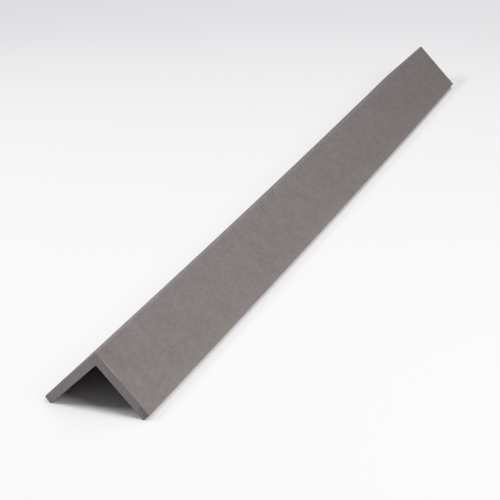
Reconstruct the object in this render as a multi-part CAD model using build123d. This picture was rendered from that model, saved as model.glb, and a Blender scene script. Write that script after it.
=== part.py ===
from build123d import *
from math import sqrt
import os

# Composite decking edge trim: one length of solid extruded angle with two equal legs, square to
# each other and cut square at both ends. It lies as a tent, with its ridge up, the tips of its
# legs on the floor and its length along Y. The origin is on the floor under the middle of the ridge.

# Driving dimensions, in millimetres
LENGTH = 750.0  # from saw cut to saw cut
LEG_WIDTH = 50.0  # outer face of each leg, from the sharp ridge to the tip
WALL = 6.0  # thickness of both legs
RIDGE_RADIUS = 1.0  # rounding of the outer corner, where the two outer faces meet
TIP_RADIUS = 1.0  # rounding of both corners at each leg's tip
INNER_RADIUS = 0.8  # fillet of the inner corner, where the two inner faces meet

# A rounded square corner stops short of its sharp point by this share of its radius.
CORNER_LOSS = sqrt(2) - 1

# Both legs slope at 45 degrees, so the inner corner of each tip is the lowest point of the section.
# The sharp ridge lies this high when the rounded tips just touch the floor.
RIDGE_HEIGHT = (LEG_WIDTH + WALL) / sqrt(2) - CORNER_LOSS * TIP_RADIUS

# The near saw cut. Seen from the sharp ridge, local X runs down the right leg and local Y down the
# left one.
NEAR_CUT = Plane(origin=(0, -LENGTH / 2, RIDGE_HEIGHT), x_dir=(1, 0, -1), z_dir=(0, 1, 0))


def angle_section():
    """The square angle in its own axes, with the sharp ridge at the origin and all corners rounded."""
    sharp_ridge = (0, 0, 0)
    inner_corner = (WALL, WALL, 0)
    with BuildSketch() as section:
        Rectangle(LEG_WIDTH, WALL, align=Align.MIN)
        Rectangle(WALL, LEG_WIDTH, align=Align.MIN)
        tip_corners = section.vertices().sort_by_distance(sharp_ridge)[-4:]
        fillet(tip_corners, TIP_RADIUS)
        fillet(section.vertices().sort_by_distance(sharp_ridge)[0], RIDGE_RADIUS)
        fillet(section.vertices().sort_by_distance(inner_corner)[0], INNER_RADIUS)
    return section.sketch


edge_trim = extrude(NEAR_CUT * angle_section(), amount=LENGTH)

os.makedirs("parts", exist_ok=True)
export_step(edge_trim, "parts/edge_trim.step")
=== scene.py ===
from math import cos, pi, radians, sin, sqrt

import bpy
import numpy as np
from mathutils import Matrix, Vector


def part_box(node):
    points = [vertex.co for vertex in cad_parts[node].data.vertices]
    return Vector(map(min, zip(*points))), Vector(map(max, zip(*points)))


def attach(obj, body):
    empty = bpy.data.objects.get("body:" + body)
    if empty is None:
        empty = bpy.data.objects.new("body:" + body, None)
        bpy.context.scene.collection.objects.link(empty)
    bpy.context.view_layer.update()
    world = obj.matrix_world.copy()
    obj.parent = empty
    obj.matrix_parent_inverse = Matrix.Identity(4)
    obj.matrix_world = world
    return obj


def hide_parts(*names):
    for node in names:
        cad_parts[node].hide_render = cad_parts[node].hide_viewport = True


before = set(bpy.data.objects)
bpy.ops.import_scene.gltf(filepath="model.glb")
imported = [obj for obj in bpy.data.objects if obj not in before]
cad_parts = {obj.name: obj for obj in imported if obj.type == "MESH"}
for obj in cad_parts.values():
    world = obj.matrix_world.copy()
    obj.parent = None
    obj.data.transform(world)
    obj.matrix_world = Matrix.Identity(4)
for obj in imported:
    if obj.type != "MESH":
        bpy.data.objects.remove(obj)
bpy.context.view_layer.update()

# Composite decking edge trim, lying as a tent on a white studio floor. Lengths are in metres, and the
# trim's length runs along Y. The section's own axes are p, down the right leg from the sharp ridge,
# and q, down the left leg.
MM = 0.001

# Radii of the extruded section
RIDGE_RADIUS = 1.0 * MM
TIP_RADIUS = 1.0 * MM
INNER_RADIUS = 0.8 * MM

# Sizes read from the solid: a rounded square corner stops short of its sharp point by CORNER_LOSS
# times its radius, and both legs slope at 45 degrees.
CORNER_LOSS = sqrt(2) - 1
lowest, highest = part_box("edge_trim")
LENGTH = highest.y - lowest.y
LEG_WIDTH = sqrt(2) * ((highest.x - lowest.x) / 2 + CORNER_LOSS * TIP_RADIUS)
RIDGE_HEIGHT = highest.z + CORNER_LOSS * RIDGE_RADIUS
WALL = sqrt(2) * (RIDGE_HEIGHT + CORNER_LOSS * TIP_RADIUS) - LEG_WIDTH

# This length has warped a little, so its middle lies this far to the right of its ends. The saw cut it a
# little out of square, so each cut leans this far over its height.
SIDE_BOW = 2.05 * MM
CUT_LEAN = 1.57 * MM

# Wear of the edges
CUT_ARRIS = 0.22 * MM  # typical rounding of the saw cuts' edges, as the offcut was handled
CUT_ARRIS_PATCH = 2.5 * MM  # the rounding changes over this distance
NICKS = 90  # small dents along the ridge and the tips
NICK_DEPTH = (0.04 * MM, 0.16 * MM)
NICK_LENGTH = (1.2 * MM, 4.0 * MM)
NICK_REACH = 0.8 * MM  # how far a nick spreads round the section
NICK_SCATTER = 0.3 * MM  # how far its middle strays from the corner
PALE_EDGE_REACH = 0.9 * MM  # width of the paler band beside an edge, from scuffs and from a painted highlight
SCUFF_PATCH = 9.0 * MM  # the scuffing comes and goes over this distance
SCUFF_TYPICAL = 0.3  # its strength on most edges
PAINTED_HIGHLIGHT_MIDDLE = 13.0 * MM  # it is strongest on the right leg's near arris, this far from the ridge, as a painted highlight
PAINTED_HIGHLIGHT_SPREAD = 6.5 * MM
PAINTED_TIP_LIGHT_REACH = 8.0 * MM  # painted light also makes the tips a little paler, over a wider band
PAINTED_TIP_LIGHT_SHARE = 0.16
DARK_PATCH_LENGTH = 25.0 * MM  # a faint darker patch on the near end of the ridge, along it and round it
DARK_PATCH_REACH = 14.0 * MM
DARK_PATCH_STRENGTH = 0.14  # share of the tone that it takes where it is darkest

# The saw tore the near cut close to the right tip: three pits at (p, q), dark partly from the inside of the
# material and partly from painted shade.
TORN_PITS = np.array([(44.0, 1.8), (46.6, 1.7), (48.6, 2.6)]) * MM
PIT_REACH = 0.8 * MM
PIT_DEPTH = 0.5 * MM
RIM_REACH = 1.3 * MM  # along the right leg's outer arris the cut is a little darker too
RIM_SHARE = 0.12

# Arcs that the saw blade left on the cuts: their spacing, and the blade's middle in X and Z
BLADE_MARKS = 1.2 * MM
BLADE_MIDDLE = (-60 * MM, -90 * MM)
WAVE_SPACING = 2 * pi / 20  # how far apart the rings of a wave texture lie at scale 1

# Grid of the trim's surface
ARC_STEPS = 8
FACE_STEPS = 22
TIP_STEPS = 4
STATIONS = 660
ARRIS_RINGS = 5
CUT_CLEARANCE = 3 * CUT_ARRIS  # the even stations keep this far from the cuts, past the worn arrises
CAP_ROWS = 14
GRADING = 0.75  # 0 divides a run evenly, towards 1 it is finer and finer at its ends

# Layout of the surface's map: two halves of the length side by side, and above them the two cuts
MAP_MARGIN = 0.01
MAP_LONG = 0.88
MAP_CUT_BASE = 0.895
MAP_CUT_SCALE = 2.4  # share of the map for each metre of a cut

# Camera, as it stands in the photograph
IMAGE_SIZE = 500  # pixels to each side
AIM = Vector((-1.025 * MM, 0.0, 17.09 * MM))  # a point under the ridge, half way along
AIM_PIXEL = (298.583, 186.912)  # where that point shows, from the left and from the top
FOCAL_PIXELS = 1605.454
CAMERA_AZIMUTH = radians(20.654)  # to the right of the trim's near end
CAMERA_ELEVATION = radians(22.305)
CAMERA_DEPTH = 1.296095  # to the aim, along the camera's axis
SENSOR_MM = 36.0

# Studio
FLOOR_HALF = 5.0  # from the middle of the floor to its sides
GLOW_START = 0.6  # the floor glows by itself from this distance on
GLOW_FULL = 1.7  # and most from this distance on
GLOW_STRENGTH = 0.6
SKY_LIGHT = 0.142  # what the surroundings shine on the trim
BACKGROUND = 0.75  # what shows behind the floor in low views
SHOULDER = 0.75  # light up to this share of white is shown as it is
BRIGHTEST = 2.0  # the brightest light that the tone curve covers
CURVE_POINTS = 16  # points of the tone curve from the shoulder up

rng = np.random.default_rng(11)


# Shape of the trim

def rounded_section():
    """The angle's closed outline: six corners, each a quarter arc, joined by straight runs.

    At a corner c, with unit directions a coming in and b going out, the arc's centre is
    c + (b - a) r. The outward normal turns evenly from a's to b's, and a point lies r along it
    from the centre, or r against it at the inside corner. Runs are divided more finely at their
    ends. The outline starts half way along the left tip, goes over the ridge to the right tip and
    comes back under it. Returns the points, the outward normals and each corner's middle point.
    """
    corners = np.array([(0, 0), (LEG_WIDTH, 0), (LEG_WIDTH, WALL), (WALL, WALL), (WALL, LEG_WIDTH),
                        (0, LEG_WIDTH)])
    radii = [RIDGE_RADIUS, TIP_RADIUS, TIP_RADIUS, INNER_RADIUS, TIP_RADIUS, TIP_RADIUS]
    run_steps = [FACE_STEPS, TIP_STEPS, FACE_STEPS, FACE_STEPS, TIP_STEPS, FACE_STEPS]
    ways = np.roll(corners, -1, axis=0) - corners
    ways = ways / np.linalg.norm(ways, axis=1, keepdims=True)
    sides = np.stack([ways[:, 1], -ways[:, 0]], axis=1)
    turn = np.linspace(0, pi / 2, ARC_STEPS + 1)[:, None]
    arcs, arc_normals = [], []
    for k, corner in enumerate(corners):
        came, goes = ways[k - 1], ways[k]
        bulge = np.sign(came[0] * goes[1] - came[1] * goes[0])
        normal = np.cos(turn) * sides[k - 1] + np.sin(turn) * sides[k]
        arcs.append(corner + (goes - came) * radii[k] + bulge * radii[k] * normal)
        arc_normals.append(normal)
    points, normals, middles, count = [], [], [], 0
    for k, steps in enumerate(run_steps):
        share = np.linspace(0, 1, steps + 1)[1:-1, None]
        share = share - GRADING * np.sin(2 * pi * share) / (2 * pi)
        start, end = arcs[k][-1], arcs[(k + 1) % 6][0]
        points += [arcs[k], start + (end - start) * share]
        normals += [arc_normals[k], np.repeat(sides[k][None], steps - 1, axis=0)]
        middles.append(count + ARC_STEPS // 2)
        count += ARC_STEPS + steps
    start = middles[5] - ARC_STEPS // 2 - TIP_STEPS // 2
    points = np.roll(np.concatenate(points), -start, axis=0)
    normals = np.roll(np.concatenate(normals), -start, axis=0)
    return points, normals, (np.array(middles) - start) % count


def smooth_noise(places, spacing):
    """Seeded random heights from 0 to 1, one every spacing, joined by half cosine waves."""
    steps = (places - places.min()) / spacing
    knots = rng.random(int(steps.max()) + 2)
    low = steps.astype(int)
    ease = (1 - np.cos(pi * (steps - low))) / 2
    return knots[low] * (1 - ease) + knots[low + 1] * ease


def bell(distance, reach):
    """A smooth bump that is 1 at no distance and falls to a third at the reach."""
    return np.exp(-(distance / reach) ** 2)


def gap_round(around, centre):
    """The shorter way round the closed section from each column to a centre."""
    gap = np.abs(around[:-1] - centre)
    return np.minimum(gap, around[-1] - gap)


def nick_depths(station, around, middles):
    """How deep each point of the grid lies in a nick: a sum of smooth round-bottomed dents.

    Every dent is a bell along the length times a bell of the distance round the section from an outer
    corner.
    """
    # the ridge is there three times, because it is knocked the most
    outer_corners = middles[[0, 0, 0, 1, 2, 4, 5]]
    depth = np.zeros((len(station), len(around) - 1))
    for _ in range(NICKS):
        centre = around[rng.choice(outer_corners)] + rng.normal(0, NICK_SCATTER)
        length = rng.uniform(*NICK_LENGTH)
        along = bell(station - rng.uniform(-0.5, 0.5) * LENGTH, length)
        across = bell(gap_round(around, centre), NICK_REACH)
        depth += rng.uniform(*NICK_DEPTH) * rng.random() * along[:, None] * across[None, :]
    return depth


def paler_edges_and_painted_light(y, around, middles):
    """How much each point of the grid is lightened by scuffs and by painted light, from 0 to 1.

    It is a bell of the distance from a cut, or from the ridge or a tip, and smooth noise makes it come and
    go. The right leg's near arris has one stronger part, a painted highlight that is a bell of the distance
    from its middle. The painted light on the tips is a weaker and wider bell, and the strongest of them
    counts.
    """
    from_cut = LENGTH / 2 - np.abs(y)
    typical = SCUFF_TYPICAL * smooth_noise(around[:-1], SCUFF_PATCH)
    # the right leg's near arris gets a painted highlight
    painted_highlight = bell(around[:-1] - around[middles[0]] - PAINTED_HIGHLIGHT_MIDDLE, PAINTED_HIGHLIGHT_SPREAD)
    scuff_and_painted_light = bell(from_cut, PALE_EDGE_REACH) * np.where(y < 0, np.maximum(typical, painted_highlight), typical)
    for corner in middles[[0, 1, 2, 4, 5]]:
        across = bell(gap_round(around, around[corner]), PALE_EDGE_REACH)
        along = smooth_noise(y.mean(axis=1), SCUFF_PATCH)
        scuff_and_painted_light = np.maximum(scuff_and_painted_light, SCUFF_TYPICAL * along[:, None] * across[None, :])
    # painted light makes the outer tips paler
    for corner in middles[[1, 5]]:
        scuff_and_painted_light = np.maximum(scuff_and_painted_light, PAINTED_TIP_LIGHT_SHARE * bell(gap_round(around, around[corner]), PAINTED_TIP_LIGHT_REACH)[None, :])
    return scuff_and_painted_light


def dark_patch(y, around, middles):
    """How much each point of the grid is darkened by the patch, from 0 to 1.

    It is a bell of the distance from the near cut, times a bell of the distance round from the ridge.
    """
    across = bell(gap_round(around, around[middles[0]]), DARK_PATCH_REACH)
    return bell(y + LENGTH / 2, DARK_PATCH_LENGTH) * across[None, :]


def torn_and_shaded_share(p, q):
    """How dark the near cut is at a point, where the saw tore it and with painted shade in the pits, and how
    much of that is a pit, both from 0 to 1.

    A pit is a bell of the distance from its middle. The rim along the outer arris is a weaker and wider
    bell, and the stronger of them counts.
    """
    pits = np.max([bell(np.hypot(p - at_p, q - at_q), PIT_REACH) for at_p, at_q in TORN_PITS], axis=0)
    rim = RIM_SHARE * bell(q, RIM_REACH)
    return np.maximum(pits, rim), pits


def in_place(p, q, y):
    """Section axes to world axes: both legs slope down at 45 degrees from the sharp ridge.

    The length is warped along a parabola. Its middle lies half of SIDE_BOW to the right of the line Y, and
    its ends lie half of it to the left. Every section leans by CUT_LEAN over its height, which shows at
    the two cuts alone.
    """
    height = RIDGE_HEIGHT - (p + q) / sqrt(2)
    x = (p - q) / sqrt(2) + SIDE_BOW * (0.5 - (2 * y / LENGTH) ** 2)
    return np.stack([x, y + CUT_LEAN * (height / RIDGE_HEIGHT - 0.5), height], axis=-1)


def long_surface():
    """The section carried along the length, as a grid of p, q, y, paler edges with painted light, and the
    dark patch.

    The grid's rows are stations along the length, and its columns go round the section. At each cut
    the last rows follow a quarter circle, whose radius differs from place to place, so the arris is
    worn unevenly. Nicks lie below the true section, along its normals. Also returns the distance
    round the section at each column, which ends with the whole perimeter.
    """
    section, normals, middles = rounded_section()
    steps = np.linalg.norm(np.roll(section, -1, axis=0) - section, axis=1)
    around = np.append(0, np.cumsum(steps))

    inner_end = LENGTH / 2 - CUT_CLEARANCE
    station = np.linspace(-inner_end, inner_end, STATIONS)
    turn = np.linspace(pi / 2, 0, ARRIS_RINGS)[:, None]
    near_radius = CUT_ARRIS * (0.5 + smooth_noise(around[:-1], CUT_ARRIS_PATCH))[None, :]
    far_radius = CUT_ARRIS * (0.5 + smooth_noise(around[:-1], CUT_ARRIS_PATCH))[None, :]
    near_y = -LENGTH / 2 + near_radius * (1 - np.sin(turn))
    far_y = LENGTH / 2 - far_radius * (1 - np.sin(turn))
    body_y = np.repeat(station[:, None], len(section), axis=1)
    y = np.concatenate([near_y, body_y, far_y[::-1]])

    depth = nick_depths(y.mean(axis=1), around, middles)
    depth[:ARRIS_RINGS] += near_radius * (1 - np.cos(turn))
    depth[-ARRIS_RINGS:] += (far_radius * (1 - np.cos(turn)))[::-1]
    p = section[:, 0] - depth * normals[:, 0]
    q = section[:, 1] - depth * normals[:, 1]
    return p, q, y, paler_edges_and_painted_light(y, around, middles), dark_patch(y, around, middles), around


def cut_face(p, q, y, index, first, inward):
    """A cut's face, ruled between the outer and the inner half of its rim.

    The rim is one row of the long surface, with its vertex numbers in index. A point of the face is a
    share of the way from an outer point to the inner point across the wall. Inward is the way along Y
    from the cut into the trim, 1 or -1, and turns the triangles outwards. Returns the new points' p, q
    and y, numbered from first, and the triangles.
    """
    columns = len(index)
    half = columns // 2
    outer = np.arange(half + 1)
    inner = (columns - outer) % columns
    share = np.linspace(0, 1, CAP_ROWS + 1)[1:-1, None]
    new_p, new_q, new_y = [v[outer[1:-1]] * (1 - share) + v[inner[1:-1]] * share for v in (p, q, y)]

    grid = np.empty((CAP_ROWS + 1, half + 1), dtype=int)
    grid[0] = index[outer]
    grid[-1] = index[inner]
    grid[:, 0] = index[0]
    grid[:, -1] = index[half]
    grid[1:-1, 1:-1] = first + np.arange(new_p.size).reshape(new_p.shape)
    a, b, c, d = grid[:-1, :-1], grid[:-1, 1:], grid[1:, 1:], grid[1:, :-1]
    triangles = np.concatenate([np.stack(t, axis=-1).reshape(-1, 3) for t in ((a, b, c), (a, c, d))])
    pinched = (triangles == np.roll(triangles, 1, axis=1)).any(axis=1)
    return new_p.ravel(), new_q.ravel(), new_y.ravel(), triangles[~pinched][:, ::-inward]


def long_map(y, around):
    """Map places of the long surface's quads: round the section across, along the length upwards.

    The length is cut in two halves, which lie side by side.
    """
    rows, columns = y.shape
    across = np.broadcast_to(MAP_MARGIN + (1 - 2 * MAP_MARGIN) * around / around[-1], (rows, columns + 1))
    along = np.concatenate([y, y[:, :1]], axis=1)
    far = (np.arange(rows - 1) >= rows // 2).astype(float)[:, None]
    corners = []
    for row, column in ((0, 0), (0, 1), (1, 1), (1, 0)):
        corner = (slice(row, row + rows - 1), slice(column, column + columns))
        u = (across[corner] + far) / 2
        v = MAP_MARGIN + (MAP_LONG - MAP_MARGIN) * (along[corner] / (LENGTH / 2) + 1 - far)
        corners.append(np.stack([u, v], axis=-1))
    return np.stack(corners, axis=2).reshape(-1, 2)


def build_trim(sanded, sawn):
    """One closed mesh: the long surface in the sanded material and a ruled face on each saw cut."""
    p, q, y, scuff_and_painted_light, darkening, around = long_surface()
    rows, columns = y.shape
    index = np.arange(rows * columns).reshape(rows, columns)
    ahead = np.roll(index, -1, axis=1)
    quads = np.stack([index[:-1], ahead[:-1], ahead[1:], index[1:]], axis=-1).reshape(-1, 4)

    near_p, near_q, near_y, near_triangles = cut_face(p[0], q[0], y[0], index[0], index.size, 1)
    torn_and_shaded, pits = torn_and_shaded_share(near_p, near_q)
    near_y = near_y + PIT_DEPTH * pits
    first = index.size + near_p.size
    far_p, far_q, far_y, far_triangles = cut_face(p[-1], q[-1], y[-1], index[-1], first, -1)

    places = [np.concatenate(v) for v in ((p.ravel(), near_p, far_p), (q.ravel(), near_q, far_q),
                                          (y.ravel(), near_y, far_y))]
    vertices = in_place(*places)
    triangles = np.concatenate([near_triangles, far_triangles])
    scuff_and_painted_light = np.concatenate([scuff_and_painted_light.ravel(), np.zeros(near_p.size + far_p.size)])
    darkening = np.concatenate([darkening.ravel(), np.zeros(near_p.size + far_p.size)])
    torn_and_shaded = np.concatenate([np.zeros(index.size), torn_and_shaded, np.zeros(far_p.size)])
    # each cut lies above the middle of its own half of the map
    cut_corners = vertices[triangles.ravel()]
    cut_u = 0.25 + 0.5 * (cut_corners[:, 1] > 0) + MAP_CUT_SCALE * cut_corners[:, 0]
    cut_v = MAP_CUT_BASE + MAP_CUT_SCALE * cut_corners[:, 2]
    map_places = np.concatenate([long_map(y, around), np.stack([cut_u, cut_v], axis=-1)])

    mesh = bpy.data.meshes.new("sanded_edge_trim")
    mesh.vertices.add(len(vertices))
    mesh.vertices.foreach_set("co", vertices.ravel())
    mesh.loops.add(quads.size + triangles.size)
    mesh.loops.foreach_set("vertex_index", np.concatenate([quads.ravel(), triangles.ravel()]))
    mesh.polygons.add(len(quads) + len(triangles))
    starts = np.concatenate([4 * np.arange(len(quads)), quads.size + 3 * np.arange(len(triangles))])
    mesh.polygons.foreach_set("loop_start", starts)
    mesh.polygons.foreach_set("use_smooth", np.ones(len(starts), dtype=bool))
    mesh.materials.append(sanded)
    mesh.materials.append(sawn)
    mesh.polygons.foreach_set("material_index", (np.arange(len(starts)) >= len(quads)).astype(int))
    mesh.update(calc_edges=True)
    for name, values in (("scuffed_and_painted_light", scuff_and_painted_light), ("dark_patch_share", darkening), ("torn_and_shaded", torn_and_shaded)):
        mesh.attributes.new(name, "FLOAT", "POINT").data.foreach_set("value", values)
    mesh.uv_layers.new(name="OFBake").uv.foreach_set("vector", map_places.ravel())
    trim = bpy.data.objects.new("sanded_edge_trim", mesh)
    bpy.context.scene.collection.objects.link(trim)
    return trim


# Materials

def linear(hex_colour):
    """An sRGB hex colour as linear RGBA."""
    parts = [int(hex_colour[i:i + 2], 16) / 255 for i in (1, 3, 5)]
    return [c / 12.92 if c <= 0.04045 else ((c + 0.055) / 1.055) ** 2.4 for c in parts] + [1.0]


def add_node(tree, kind, inputs, **settings):
    """Adds one node, with its settings, and sets each input to a value or links it to a socket."""
    made = tree.nodes.new(kind)
    for name, value in settings.items():
        setattr(made, name, value)
    for key, value in inputs.items():
        if isinstance(value, bpy.types.NodeSocket):
            tree.links.new(value, made.inputs[key])
        else:
            made.inputs[key].default_value = value
    return made


def new_material(name):
    """An empty node material, with its tree, its shader and its Object coordinates."""
    material = bpy.data.materials.new(name)
    material.use_nodes = True
    tree = material.node_tree
    shader = tree.nodes["Principled BSDF"]
    coordinates = add_node(tree, "ShaderNodeTexCoord", {}).outputs["Object"]
    return material, tree, shader, coordinates


def layered_tone(tree, layers):
    """A tone about 1: noises, each with its vector, grain size, detail and strength, added together.

    Returns the tone and each noise by itself.
    """
    tone = 1 - sum(strength for _, _, _, strength in layers) / 2
    noises = []
    for vector, size, detail, strength in layers:
        noise = add_node(tree, "ShaderNodeTexNoise", {"Vector": vector, "Scale": 1 / size, "Detail": detail})
        noises.append(noise.outputs["Fac"])
        tone = add_node(tree, "ShaderNodeMath", {0: noises[-1], 1: strength, 2: tone},
                        operation="MULTIPLY_ADD").outputs[0]
    return tone, noises


def sanded_composite():
    """Wood-plastic composite, extruded and then sanded along its length.

    The sanding takes off the plastic skin, so the eye sees a dry, matt, warm grey with a mottle of wood
    flour, small dark pits, faint streaks along the length and hardly any shine. Where the offcut was
    handled, its edges have paler scuffs. A painted highlight lies along the right leg's near arris,
    painted light makes the tips paler, and one end of its ridge is a little darker.
    """
    material, tree, shader, coordinates = new_material("sanded_wood_plastic_composite")
    flecks_way = add_node(tree, "ShaderNodeMapping", {"Vector": coordinates, "Scale": (1, 0.45, 1)})
    streaks_way = add_node(tree, "ShaderNodeMapping", {"Vector": coordinates, "Scale": (1, 0.06, 1)})
    tone, noises = layered_tone(tree, [
        # clouds of more and less pigment
        (coordinates, 110 * MM, 2, 0.06),
        # blotches where the flour is denser
        (coordinates, 12 * MM, 2, 0.32),
        # wood flour; it is about half as coarse on the real surface
        (flecks_way.outputs["Vector"], 2.2 * MM, 2, 0.35),
        # sanding streaks; the real ones are as fine as the grit
        (streaks_way.outputs["Vector"], 0.9 * MM, 2, 0.12),
    ])
    _, _, flecks, streaks = noises
    pits = add_node(tree, "ShaderNodeMapRange", {"Value": flecks, "From Min": 0.28, "From Max": 0.42,
                                                 "To Min": 0.94, "To Max": 1.0})
    pitted = add_node(tree, "ShaderNodeMath", {0: tone, 1: pits.outputs[0]}, operation="MULTIPLY")
    # a faint darker patch on the near end of the ridge
    dark_patch_share = add_node(tree, "ShaderNodeAttribute", {}, attribute_name="dark_patch_share")
    patch_tone = add_node(tree, "ShaderNodeMath", {0: dark_patch_share.outputs["Fac"], 1: -DARK_PATCH_STRENGTH, 2: 1.0},
                     operation="MULTIPLY_ADD")
    value = add_node(tree, "ShaderNodeMath", {0: pitted.outputs[0], 1: patch_tone.outputs[0]},
                     operation="MULTIPLY")

    mottled = add_node(tree, "ShaderNodeHueSaturation", {"Color": linear("#77706D"),
                                                         "Value": value.outputs[0]})
    # the paler colour stands for scuffs on the edges, a painted highlight on the right leg's near arris and
    # painted light on the tips
    scuffed_and_painted_light = add_node(tree, "ShaderNodeAttribute", {}, attribute_name="scuffed_and_painted_light")
    colour = add_node(tree, "ShaderNodeMix", {0: scuffed_and_painted_light.outputs["Fac"], 6: mottled.outputs["Color"],
                                              7: linear("#958D89")}, data_type="RGBA")
    tree.links.new(colour.outputs[2], shader.inputs["Base Color"])

    dryness = add_node(tree, "ShaderNodeMapRange", {"Value": flecks, "From Min": 0.3, "From Max": 0.7,
                                                    "To Min": 0.70, "To Max": 0.56})
    tree.links.new(dryness.outputs[0], shader.inputs["Roughness"])
    relief = add_node(tree, "ShaderNodeMath", {0: flecks, 1: streaks}, operation="ADD")
    bump = add_node(tree, "ShaderNodeBump", {"Height": relief.outputs[0], "Distance": 0.05 * MM,
                                             "Strength": 0.6})
    tree.links.new(bump.outputs["Normal"], shader.inputs["Normal"])
    shader.inputs["IOR"].default_value = 1.5
    return material


def sawn_composite():
    """Wood-plastic composite, cut across by a circular saw.

    The teeth tear the wood flour out of the plastic, so the eye sees a rougher, slightly darker face,
    speckled with paler grains and small dark pits, with faint arcs from the blade. Where the saw tore it
    deeper, it is darker: partly the darker inside, partly painted shade in the pits.
    """
    material, tree, shader, coordinates = new_material("sawn_wood_plastic_composite")
    tone, noises = layered_tone(tree, [
        # smears of softened plastic
        (coordinates, 9 * MM, 2, 0.16),
        # torn grains, drawn about twice as coarse as the real ones
        (coordinates, 1.4 * MM, 3, 0.75),
    ])
    grains = noises[1]

    # blade marks: rings about the blade's middle
    from_middle = add_node(tree, "ShaderNodeMapping", {"Vector": coordinates,
                                                       "Location": (-BLADE_MIDDLE[0], 0, -BLADE_MIDDLE[1])})
    marks = add_node(tree, "ShaderNodeTexWave", {"Vector": from_middle.outputs["Vector"],
                                                 "Scale": WAVE_SPACING / BLADE_MARKS, "Distortion": 1.5,
                                                 "Detail": 1}, wave_type="RINGS", rings_direction="Y")
    marked = add_node(tree, "ShaderNodeMath", {0: marks.outputs["Fac"], 1: 0.05, 2: tone},
                      operation="MULTIPLY_ADD")

    # the left leg's end came out a little paler than the right leg's
    sides = add_node(tree, "ShaderNodeSeparateXYZ", {0: coordinates})
    pale = add_node(tree, "ShaderNodeMapRange", {"Value": sides.outputs["X"], "From Min": -10 * MM,
                                                 "From Max": 10 * MM, "To Min": 1.04, "To Max": 0.93})
    value = add_node(tree, "ShaderNodeMath", {0: marked.outputs[0], 1: pale.outputs[0]},
                     operation="MULTIPLY")
    speckled = add_node(tree, "ShaderNodeHueSaturation", {"Color": linear("#817A79"),
                                                          "Value": value.outputs[0]})
    # darker where the saw tore the cut; in the pits the dark is partly painted shade
    torn_and_shaded = add_node(tree, "ShaderNodeAttribute", {}, attribute_name="torn_and_shaded")
    colour = add_node(tree, "ShaderNodeMix", {0: torn_and_shaded.outputs["Fac"], 6: speckled.outputs["Color"],
                                              7: linear("#554947")}, data_type="RGBA")
    tree.links.new(colour.outputs[2], shader.inputs["Base Color"])

    relief = add_node(tree, "ShaderNodeMath", {0: marks.outputs["Fac"], 1: 0.3, 2: grains},
                      operation="MULTIPLY_ADD")
    bump = add_node(tree, "ShaderNodeBump", {"Height": relief.outputs[0], "Distance": 0.12 * MM,
                                             "Strength": 0.7})
    tree.links.new(bump.outputs["Normal"], shader.inputs["Normal"])
    shader.inputs["Roughness"].default_value = 0.75
    shader.inputs["IOR"].default_value = 1.5
    return material


def white_paper():
    """Matt white paper, which gives the floor its even, pale look.

    The softboxes light only the middle of the floor. Further out it glows by itself, as if it were lit
    through from below, so that it stays pale to every side.
    """
    material, tree, shader, coordinates = new_material("matt_white_paper")
    shader.inputs["Base Color"].default_value = linear("#FAF9FC")
    shader.inputs["Emission Color"].default_value = linear("#FAF9FC")
    shader.inputs["Roughness"].default_value = 0.9
    distance = add_node(tree, "ShaderNodeVectorMath", {0: coordinates}, operation="LENGTH")
    glow = add_node(tree, "ShaderNodeMapRange", {"Value": distance.outputs["Value"],
                                                 "From Min": GLOW_START, "From Max": GLOW_FULL,
                                                 "To Min": 0.0, "To Max": GLOW_STRENGTH},
                    interpolation_type="SMOOTHSTEP")
    tree.links.new(glow.outputs[0], shader.inputs["Emission Strength"])
    return material


# Floor, lights and camera

def build_floor(material):
    """A flat square of paper at the height of the trim's tips."""
    mesh = bpy.data.meshes.new("paper_floor")
    corners = FLOOR_HALF * np.array([(-1, -1, 0), (1, -1, 0), (1, 1, 0), (-1, 1, 0)], dtype=float)
    mesh.from_pydata(corners.tolist(), [], [(0, 1, 2, 3)])
    mesh.materials.append(material)
    floor = bpy.data.objects.new("paper_floor", mesh)
    bpy.context.scene.collection.objects.link(floor)
    return floor


def add_softbox(name, place, aim, width, height, watts):
    """An area light of that width and height, turned to face its aim."""
    light = bpy.data.lights.new(name, "AREA")
    light.shape = "RECTANGLE"
    light.energy = watts
    light.size = width
    light.size_y = height
    lamp = bpy.data.objects.new(name, light)
    lamp.location = place
    lamp.rotation_euler = (Vector(aim) - Vector(place)).to_track_quat("-Z", "Y").to_euler()
    bpy.context.scene.collection.objects.link(lamp)


def build_world():
    """Weak even light from all round, and a pale background behind the floor."""
    world = bpy.data.worlds.new("studio")
    world.use_nodes = True
    tree = world.node_tree
    seen = add_node(tree, "ShaderNodeLightPath", {}).outputs["Is Camera Ray"]
    strength = add_node(tree, "ShaderNodeMath", {0: seen, 1: BACKGROUND - SKY_LIGHT, 2: SKY_LIGHT},
                        operation="MULTIPLY_ADD")
    tree.nodes["Background"].inputs["Color"].default_value = (1, 1, 1, 1)
    tree.links.new(strength.outputs[0], tree.nodes["Background"].inputs["Strength"])
    bpy.context.scene.world = world


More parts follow.
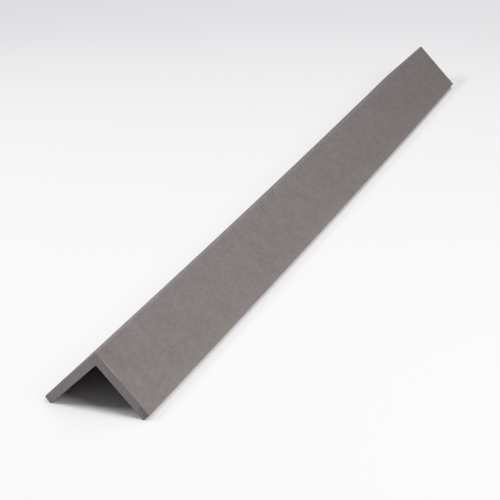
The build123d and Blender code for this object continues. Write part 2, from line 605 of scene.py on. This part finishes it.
def add_camera():
    """A level camera that shows the aim at its pixel of the photograph."""
    back = Vector((sin(CAMERA_AZIMUTH) * cos(CAMERA_ELEVATION),
                   -cos(CAMERA_AZIMUTH) * cos(CAMERA_ELEVATION), sin(CAMERA_ELEVATION)))
    right = Vector((0, 0, 1)).cross(back).normalized()
    up = back.cross(right)
    across = (AIM_PIXEL[0] - IMAGE_SIZE / 2) / FOCAL_PIXELS
    down = (AIM_PIXEL[1] - IMAGE_SIZE / 2) / FOCAL_PIXELS
    lens = bpy.data.cameras.new("camera")
    lens.sensor_fit = "HORIZONTAL"
    lens.sensor_width = SENSOR_MM
    lens.lens = FOCAL_PIXELS / IMAGE_SIZE * SENSOR_MM
    camera = bpy.data.objects.new("camera", lens)
    place = AIM + CAMERA_DEPTH * (back - across * right + down * up)
    turned = Matrix((right, up, back)).transposed().to_4x4()
    camera.matrix_world = Matrix.Translation(place) @ turned
    bpy.context.scene.collection.objects.link(camera)
    bpy.context.scene.camera = camera


def set_tone_curve():
    """The camera's tone curve: true up to SHOULDER, and above it an exponential that nears white."""
    view = bpy.context.scene.view_settings
    view.view_transform = "Standard"
    view.use_curve_mapping = True
    mapping = view.curve_mapping
    mapping.white_level = (BRIGHTEST, BRIGHTEST, BRIGHTEST)
    # the last curve holds for all colours together
    curve = mapping.curves[3]
    scene_light = np.linspace(SHOULDER, BRIGHTEST, CURVE_POINTS)
    shown = 1 - (1 - SHOULDER) * np.exp((SHOULDER - scene_light) / (1 - SHOULDER))
    for light, tone in zip(scene_light[:-1], shown[:-1]):
        curve.points.new(light / BRIGHTEST, tone)
    curve.points[-1].location = (1, shown[-1])
    for point in curve.points:
        point.handle_type = "VECTOR"
    mapping.update()


trim = build_trim(sanded_composite(), sawn_composite())
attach(trim, "root")
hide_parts("edge_trim")

floor = build_floor(white_paper())

# The left softbox is a narrow strip, so the trim's shadow beside its right foot has an edge.
add_softbox("overhead_softbox", (0, -0.15, 2.2), (0, -0.15, 0), 2.2, 2.2, 8.06)
add_softbox("right_softbox", (0.766, -0.45, 0.643), (0, -0.3, 0), 0.5, 0.25, 3.96)
add_softbox("high_right_softbox", (0.574, -0.2, 0.819), (0, -0.2, 0), 0.7, 0.25, 3.01)
add_softbox("left_softbox", (-0.707, -0.45, 0.707), (0, -0.3, 0), 0.5, 0.06, 5.31)
add_softbox("back_softbox", (0, 1.0, 1.5), (0, 0, 0), 0.8, 0.8, 9.14)

build_world()
set_tone_curve()
add_camera()
